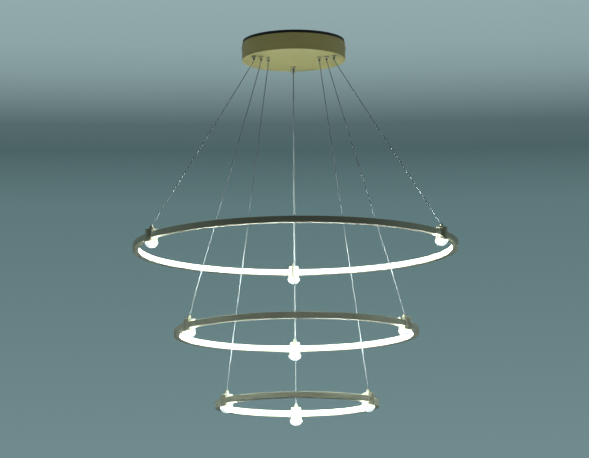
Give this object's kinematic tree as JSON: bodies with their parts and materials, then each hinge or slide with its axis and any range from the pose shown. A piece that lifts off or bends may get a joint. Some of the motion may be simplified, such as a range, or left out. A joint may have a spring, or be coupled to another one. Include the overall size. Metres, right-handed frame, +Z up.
{
  "type": "led ring chandelier",
  "caption": "Tiered pendant light: lit aluminium rings with downlights at their clamps hang on thin cables from a round ceiling canopy with push-button cable grippers.",
  "frame": {"origin": "centre of the ceiling plate's upper face, which lies against the ceiling", "axes": "+Z up, out of the ceiling plate's upper face; the rear cables hang at +Y, and the front (-Y) lies between the left and right cables"},
  "size_m": [0.8, 0.8085, 0.938],
  "materials": {
    "black_steel": "matt black paint",
    "champagne_paint": "satin champagne paint",
    "champagne_metal": "satin champagne anodising",
    "steel": "plain",
    "brass": "plain turned",
    "rubber": "matt",
    "white_plastic": "fine grain",
    "board_green": "solder mask",
    "board_white": "white solder mask",
    "wire_sleeve": "clear sleeve over tinned copper",
    "cable_steel": "steel cable in a clear sleeve",
    "opal_plastic": "opal, lit from inside",
    "black_plastic": "fine grain"
  },
  "bodies": {
    "canopy": {"ceiling_plate": "black_steel", "canopy_shell": "champagne_paint", "canopy_screws": "steel", "cable_grommet": "rubber", "terminal_blocks": "white_plastic", "earth_stud": "brass", "driver_case": "white_plastic", "driver_cover": "white_plastic", "driver_board": "board_green", "fixing_screws": "steel", "canopy_wiring": "wire_sleeve", "gripper_bodies": "champagne_metal", "gripper_nuts": "brass", "gripper_caps": "brass", "gripper_springs": "steel", "large_rear_cable": "cable_steel", "large_left_cable": "cable_steel", "large_right_cable": "cable_steel", "medium_rear_cable": "cable_steel", "medium_left_cable": "cable_steel", "medium_right_cable": "cable_steel", "small_rear_cable": "cable_steel", "small_left_cable": "cable_steel", "small_right_cable": "cable_steel"},
    "large_ring": {"large_channel": "champagne_metal", "large_diffuser": "opal_plastic", "large_led_strip": "board_white", "large_clamp_bodies": "champagne_metal", "large_clamp_caps": "champagne_metal", "large_cable_anchors": "champagne_metal", "large_cap_screws": "steel", "large_spot_boards": "board_white", "large_spot_lenses": "opal_plastic"},
    "medium_ring": {"medium_channel": "champagne_metal", "medium_diffuser": "opal_plastic", "medium_led_strip": "board_white", "medium_clamp_bodies": "champagne_metal", "medium_clamp_caps": "champagne_metal", "medium_cable_anchors": "champagne_metal", "medium_cap_screws": "steel", "medium_spot_boards": "board_white", "medium_spot_lenses": "opal_plastic"},
    "small_ring": {"small_channel": "champagne_metal", "small_diffuser": "opal_plastic", "small_led_strip": "board_white", "small_clamp_bodies": "champagne_metal", "small_clamp_caps": "champagne_metal", "small_cable_anchors": "champagne_metal", "small_cap_screws": "steel", "small_spot_boards": "board_white", "small_spot_lenses": "opal_plastic"},
    "large_rear_button": {"large_rear_release": "black_plastic"},
    "large_left_button": {"large_left_release": "black_plastic"},
    "large_right_button": {"large_right_release": "black_plastic"},
    "medium_rear_button": {"medium_rear_release": "black_plastic"},
    "medium_left_button": {"medium_left_release": "black_plastic"},
    "medium_right_button": {"medium_right_release": "black_plastic"},
    "small_rear_button": {"small_rear_release": "black_plastic"},
    "small_left_button": {"small_left_release": "black_plastic"},
    "small_right_button": {"small_right_release": "black_plastic"}
  },
  "joints": [
    {"name": "large_ring_lift", "type": "slide", "parent": "canopy", "child": "large_ring", "axis": [0, 0, 1], "range_m": [0, 0.2], "deforming": ["large_rear_cable", "large_left_cable", "large_right_cable"]},
    {"name": "medium_ring_lift", "type": "slide", "parent": "canopy", "child": "medium_ring", "axis": [0, 0, 1], "range_m": [0, 0.3], "deforming": ["medium_rear_cable", "medium_left_cable", "medium_right_cable"]},
    {"name": "small_ring_lift", "type": "slide", "parent": "canopy", "child": "small_ring", "axis": [0, 0, 1], "range_m": [0, 0.38], "deforming": ["small_rear_cable", "small_left_cable", "small_right_cable"]},
    {"name": "large_rear_release_press", "type": "slide", "parent": "canopy", "child": "large_rear_button", "axis": [0, 0, 1], "range_m": [0, 0.002], "stiffness_N_per_m": 800, "springref_m": -0.002, "deforming": ["gripper_springs"]},
    {"name": "large_left_release_press", "type": "slide", "parent": "canopy", "child": "large_left_button", "axis": [0, 0, 1], "range_m": [0, 0.002], "stiffness_N_per_m": 800, "springref_m": -0.002, "deforming": ["gripper_springs"]},
    {"name": "large_right_release_press", "type": "slide", "parent": "canopy", "child": "large_right_button", "axis": [0, 0, 1], "range_m": [0, 0.002], "stiffness_N_per_m": 800, "springref_m": -0.002, "deforming": ["gripper_springs"]},
    {"name": "medium_rear_release_press", "type": "slide", "parent": "canopy", "child": "medium_rear_button", "axis": [0, 0, 1], "range_m": [0, 0.002], "stiffness_N_per_m": 800, "springref_m": -0.002, "deforming": ["gripper_springs"]},
    {"name": "medium_left_release_press", "type": "slide", "parent": "canopy", "child": "medium_left_button", "axis": [0, 0, 1], "range_m": [0, 0.002], "stiffness_N_per_m": 800, "springref_m": -0.002, "deforming": ["gripper_springs"]},
    {"name": "medium_right_release_press", "type": "slide", "parent": "canopy", "child": "medium_right_button", "axis": [0, 0, 1], "range_m": [0, 0.002], "stiffness_N_per_m": 800, "springref_m": -0.002, "deforming": ["gripper_springs"]},
    {"name": "small_rear_release_press", "type": "slide", "parent": "canopy", "child": "small_rear_button", "axis": [0, 0, 1], "range_m": [0, 0.002], "stiffness_N_per_m": 800, "springref_m": -0.002, "deforming": ["gripper_springs"]},
    {"name": "small_left_release_press", "type": "slide", "parent": "canopy", "child": "small_left_button", "axis": [0, 0, 1], "range_m": [0, 0.002], "stiffness_N_per_m": 800, "springref_m": -0.002, "deforming": ["gripper_springs"]},
    {"name": "small_right_release_press", "type": "slide", "parent": "canopy", "child": "small_right_button", "axis": [0, 0, 1], "range_m": [0, 0.002], "stiffness_N_per_m": 800, "springref_m": -0.002, "deforming": ["gripper_springs"]}
  ]
}
